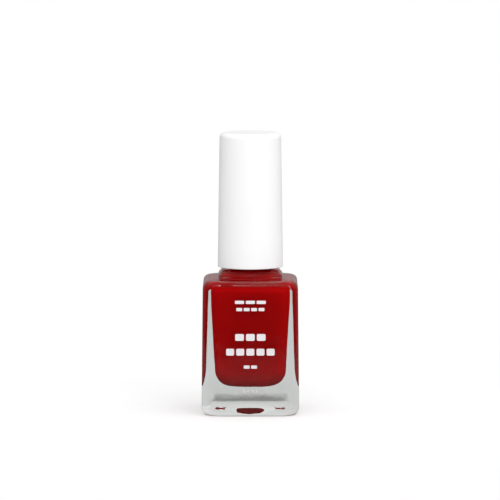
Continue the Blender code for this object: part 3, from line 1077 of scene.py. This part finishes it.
stem = {
    "topRadius": 1.75 * mm,
    "endRadius": 1.5 * mm,
    "hole": 1.15 * mm,
    "holeTop": 31.6 * mm,
    "flangeRadius": stemHigh.x,
    "flangeLow": 51.3 * mm,
    "flangeHigh": 52.3 * mm,
    "spigot": 2.4 * mm,
    "barb": 3.0 * mm,
    "barbLow": stemHigh.z - 0.9 * mm,
    "light": (0.78, 0.78, 0.75),
    "dark": (0.71, 0.71, 0.68),
    "gloss": 0.34,
    "grain": 7000.0,
    "bump": 0.002 * mm,
    "scuffs": 0.04,
    "film": {"Level": cavity["fillZ"] + 1.0 * mm, "Ragged": 0.003},
}


def makeStem():
    c = stem
    points = [
        at(0.3 * mm, c["holeTop"]),
        at(c["hole"], c["holeTop"], 0.1 * mm),
        at(c["hole"], stemLow.z, 0.08 * mm),
        at(c["endRadius"], stemLow.z, 0.15 * mm),
        at(c["endRadius"] + 0.02 * mm, stemLow.z + 1.2 * mm, 0.2 * mm),
        at(c["topRadius"], c["flangeLow"] - 1.2 * mm, 0.5 * mm),
        at(c["topRadius"] + 0.25 * mm, c["flangeLow"], 0.2 * mm),
        at(c["flangeRadius"], c["flangeLow"], 0.15 * mm),
        at(c["flangeRadius"], c["flangeHigh"], 0.2 * mm),
        at(c["spigot"], c["flangeHigh"], 0.15 * mm),
        at(c["spigot"], c["barbLow"], 0.1 * mm),
        at(c["barb"], c["barbLow"], 0.08 * mm),
        at(c["barb"], c["barbLow"] + 0.3 * mm, 0.15 * mm),
        at(c["spigot"] - 0.2 * mm, stemHigh.z, 0.15 * mm),
        at(1.3 * mm, stemHigh.z, 0.1 * mm),
        at(1.1 * mm, stemHigh.z - 2.2 * mm, 0.3 * mm),
        at(0.3 * mm, stemHigh.z - 2.2 * mm),
    ]
    piece = turned("brush_stem_moulded", points, 5)
    material = plasticMaterial(
        "stemPlastic", c, c["film"], Subsurface_Weight=0.2, Subsurface_Scale=0.002
    )
    piece.data.materials.append(material)
    place(piece, "cap", "stem_plastic", "brush_stem")


def steelMaterial(name, colour, gloss, brushed, film):
    # bright steel, brushed or polished, with lacquer on it below the film's level
    material, tree, shader = newMaterial(name)
    marks = noiseAt(tree, 2500.0, 3.0, brushed)
    wet = shared(tree, "film", **film)["Mask"]
    shade = mixColours(tree, marks, tuple(0.85 * part for part in colour), colour)
    tree.links.new(mixColours(tree, wet, shade, lacquer["light"]), shader.inputs["Base Color"])
    tree.links.new(mapped(tree, marks, gloss, gloss + 0.12), shader.inputs["Roughness"])
    tree.links.new(nodeMath(tree, "SUBTRACT", 1.0, wet), shader.inputs["Metallic"])
    tree.links.new(wet, shader.inputs["Coat Weight"])
    addBump(tree, shader, marks, 0.004 * mm)
    return material


def makeStaple():
    # flat metal anchor with rounded edges that pins the folded filaments in the hole
    low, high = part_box("brush_staple")
    bm = bmesh.new()
    bmesh.ops.create_cube(bm, size=1.0)
    bmesh.ops.scale(bm, vec=high - low, verts=bm.verts)
    bmesh.ops.translate(bm, vec=(high + low) / 2, verts=bm.verts)
    bmesh.ops.bevel(
        bm, geom=bm.edges[:], offset=0.07 * mm, segments=3, profile=0.5, affect="EDGES"
    )
    piece = meshObject("brush_staple_flat", bm)
    piece.data.materials.append(steelMaterial(
        "stapleMetal", (0.62, 0.58, 0.50), 0.25, (1.0, 1.0, 0.1), {"Level": 0.03, "Ragged": 0.0005}
    ))
    place(piece, "carrier", "staple_metal", "brush_staple")


# brush of loose filaments

tuft = {
    "count": 240,
    "filament": 0.045 * mm,  # radius
    "root": 0.80 * mm,
    "belly": 2.0 * mm,
    "dome": 1.6 * mm,  # outer filaments end higher
    "stray": 0.12 * mm,
    "points": 16,
    "seed": 4.0,
    "golden": 2.39996,  # angle between one filament's root and the next
    "film": {"Level": 0.0268, "Ragged": 0.003},
}


def makeTuftTree():
    tree, given, result = newTree("brushTuft", {
        "Count": 240, "Filament": 0.00005, "Root": 0.0008, "Belly": 0.002, "Top": 0.029,
        "Tip": 0.0125, "Dome": 0.0015, "Stray": 0.0001, "Points": 16, "Seed": 4.0,
    })
    index = addNode(tree, "GeometryNodeInputIndex").outputs[0]
    share = nodeMath(tree, "DIVIDE", nodeMath(tree, "ADD", index, 0.5), given["Count"])
    radius = nodeMath(tree, "SQRT", share)
    angle = nodeMath(tree, "MULTIPLY", index, tuft["golden"])
    root = addNode(tree, "ShaderNodeCombineXYZ", {
        "X": nodeMath(tree, "MULTIPLY", radius, nodeMath(tree, "COSINE", angle)),
        "Y": nodeMath(tree, "MULTIPLY", radius, nodeMath(tree, "SINE", angle)),
    })
    roots = addNode(tree, "GeometryNodePoints", {
        "Count": given["Count"], "Position": root.outputs[0],
    })
    line = addNode(tree, "GeometryNodeCurvePrimitiveLine", {
        "Start": (0.0, 0.0, 0.0), "End": (0.0, 0.0, 1.0),
    })
    points = addNode(tree, "GeometryNodeResampleCurve", {
        "Curve": line.outputs[0], "Count": given["Points"],
    })
    lines = addNode(tree, "GeometryNodeInstanceOnPoints", {
        "Points": roots.outputs[0], "Instance": points.outputs[0],
    })
    loose = addNode(tree, "GeometryNodeRealizeInstances", {0: lines.outputs[0]})
    # each point now holds its place in a unit disc and, as Z, how far down its filament it is
    unit = addNode(tree, "GeometryNodeInputPosition").outputs[0]
    parts = addNode(tree, "ShaderNodeSeparateXYZ", {0: unit}).outputs
    down = parts["Z"]
    opened = addNode(tree, "ShaderNodeMapRange", {
        "Value": down, "From Min": 0.08, "From Max": 0.72,
    }, interpolation_type="SMOOTHSTEP").outputs["Result"]
    close = addNode(tree, "ShaderNodeMapRange", {
        "Value": down, "From Min": 0.80, "From Max": 1.05, "To Min": 0.0, "To Max": 0.30,
    }, interpolation_type="SMOOTHSTEP").outputs["Result"]
    wide = nodeMath(tree, "SUBTRACT", given["Belly"], given["Root"])
    spread = nodeMath(tree, "MULTIPLY_ADD", wide, opened, given["Root"])
    spread = nodeMath(tree, "MULTIPLY", spread, nodeMath(tree, "SUBTRACT", 1.0, close))
    flat = addNode(tree, "ShaderNodeVectorMath", {0: unit, 1: (1.0, 1.0, 0.0)}, operation="MULTIPLY")
    reach = addNode(tree, "ShaderNodeVectorMath", {0: flat.outputs[0]}, operation="LENGTH")
    square = nodeMath(tree, "POWER", reach.outputs["Value"], 2.0)
    rise = nodeMath(tree, "MULTIPLY", square, given["Dome"])
    tip = nodeMath(tree, "ADD", given["Tip"], rise)
    length = nodeMath(tree, "SUBTRACT", given["Top"], tip)
    height = nodeMath(tree, "SUBTRACT", given["Top"], nodeMath(tree, "MULTIPLY", length, down))
    fanned = addNode(tree, "ShaderNodeVectorMath", {0: flat.outputs[0], "Scale": spread},
                     operation="SCALE")
    seeded = addNode(tree, "ShaderNodeVectorMath", {0: unit, 1: (9.0, 9.0, 1.6)},
                     operation="MULTIPLY")
    wander = addNode(tree, "ShaderNodeTexNoise", {
        "Vector": seeded.outputs[0], "W": given["Seed"], "Scale": 1.0, "Detail": 0.0,
    }, noise_dimensions="4D")
    centred = addNode(tree, "ShaderNodeVectorMath",
                      {0: wander.outputs["Color"], 1: (0.5, 0.5, 0.5)}, operation="SUBTRACT")
    amount = nodeMath(tree, "MULTIPLY", nodeMath(tree, "MULTIPLY", down, 2.0), given["Stray"])
    strayed = addNode(tree, "ShaderNodeVectorMath", {0: centred.outputs[0], "Scale": amount},
                      operation="SCALE")
    lifted = addNode(tree, "ShaderNodeCombineXYZ", {"Z": height})
    moved = addNode(tree, "ShaderNodeVectorMath",
                    {0: fanned.outputs[0], 1: strayed.outputs[0]}, operation="ADD")
    both = addNode(tree, "ShaderNodeVectorMath",
                   {0: moved.outputs[0], 1: lifted.outputs[0]}, operation="ADD")
    shaped = addNode(tree, "GeometryNodeSetPosition", {
        0: loose.outputs[0], "Position": both.outputs[0],
    })
    profile = addNode(tree, "GeometryNodeCurvePrimitiveCircle", {
        "Resolution": 5, "Radius": given["Filament"],
    })
    hairs = addNode(tree, "GeometryNodeCurveToMesh", {
        "Curve": shaped.outputs[0], "Profile Curve": profile.outputs[0], "Fill Caps": True,
    })
    endTree(tree, given, result, [hairs.outputs[0]])
    return tree


def filamentMaterial():
    # dark nylon, soaked in lacquer but for the roots
    material, tree, shader = newMaterial("bristles", Roughness=0.3)
    tone = noiseAt(tree, 9000.0, 1.0, (1.0, 1.0, 0.05))
    dry = mixColours(tree, tone, (0.020, 0.018, 0.018), (0.060, 0.055, 0.052))
    wet = shared(tree, "film", **tuft["film"])["Mask"]
    soaked = mixColours(tree, tone, lacquer["dark"], lacquer["light"])
    tree.links.new(mixColours(tree, wet, dry, soaked), shader.inputs["Base Color"])
    tree.links.new(wet, shader.inputs["Coat Weight"])
    tree.links.new(mapped(tree, wet, 0.42, lacquer["wetGloss"]), shader.inputs["Roughness"])
    return material


def makeTuft():
    low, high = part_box("bristle_tuft")
    piece = link("bristle_filaments", bpy.data.meshes.new("bristle_filaments"))
    grow(piece, makeTuftTree(), filamentMaterial(), {
        "Count": tuft["count"], "Filament": tuft["filament"], "Root": tuft["root"],
        "Belly": tuft["belly"], "Top": high.z, "Tip": low.z, "Dome": tuft["dome"],
        "Stray": tuft["stray"], "Points": tuft["points"], "Seed": tuft["seed"],
    })
    place(piece, "cap", "bristles", "bristle_tuft")


# polished balls that stir the lacquer when the bottle is shaken

balls = {"mixing_ball_1": "ball_1", "mixing_ball_2": "ball_2"}


def makeBalls():
    material = steelMaterial(
        "ballSteel", (0.66, 0.65, 0.63), 0.06, (1.0, 1.0, 1.0), {"Level": 0.02, "Ragged": 0.0}
    )
    for node, bodyName in balls.items():
        low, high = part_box(node)
        bm = bmesh.new()
        bmesh.ops.create_icosphere(bm, subdivisions=5, radius=(high.x - low.x) / 2)
        bmesh.ops.translate(bm, vec=(high + low) / 2, verts=bm.verts)
        piece = meshObject(node + "_polished", bm)
        piece.data.materials.append(material)
        place(piece, bodyName, "ball_steel", node)


makeInnerCap()
makeLiner()
makeStem()
makeStaple()
makeTuft()
makeBalls()
print("inner cap, liner, brush and balls made")
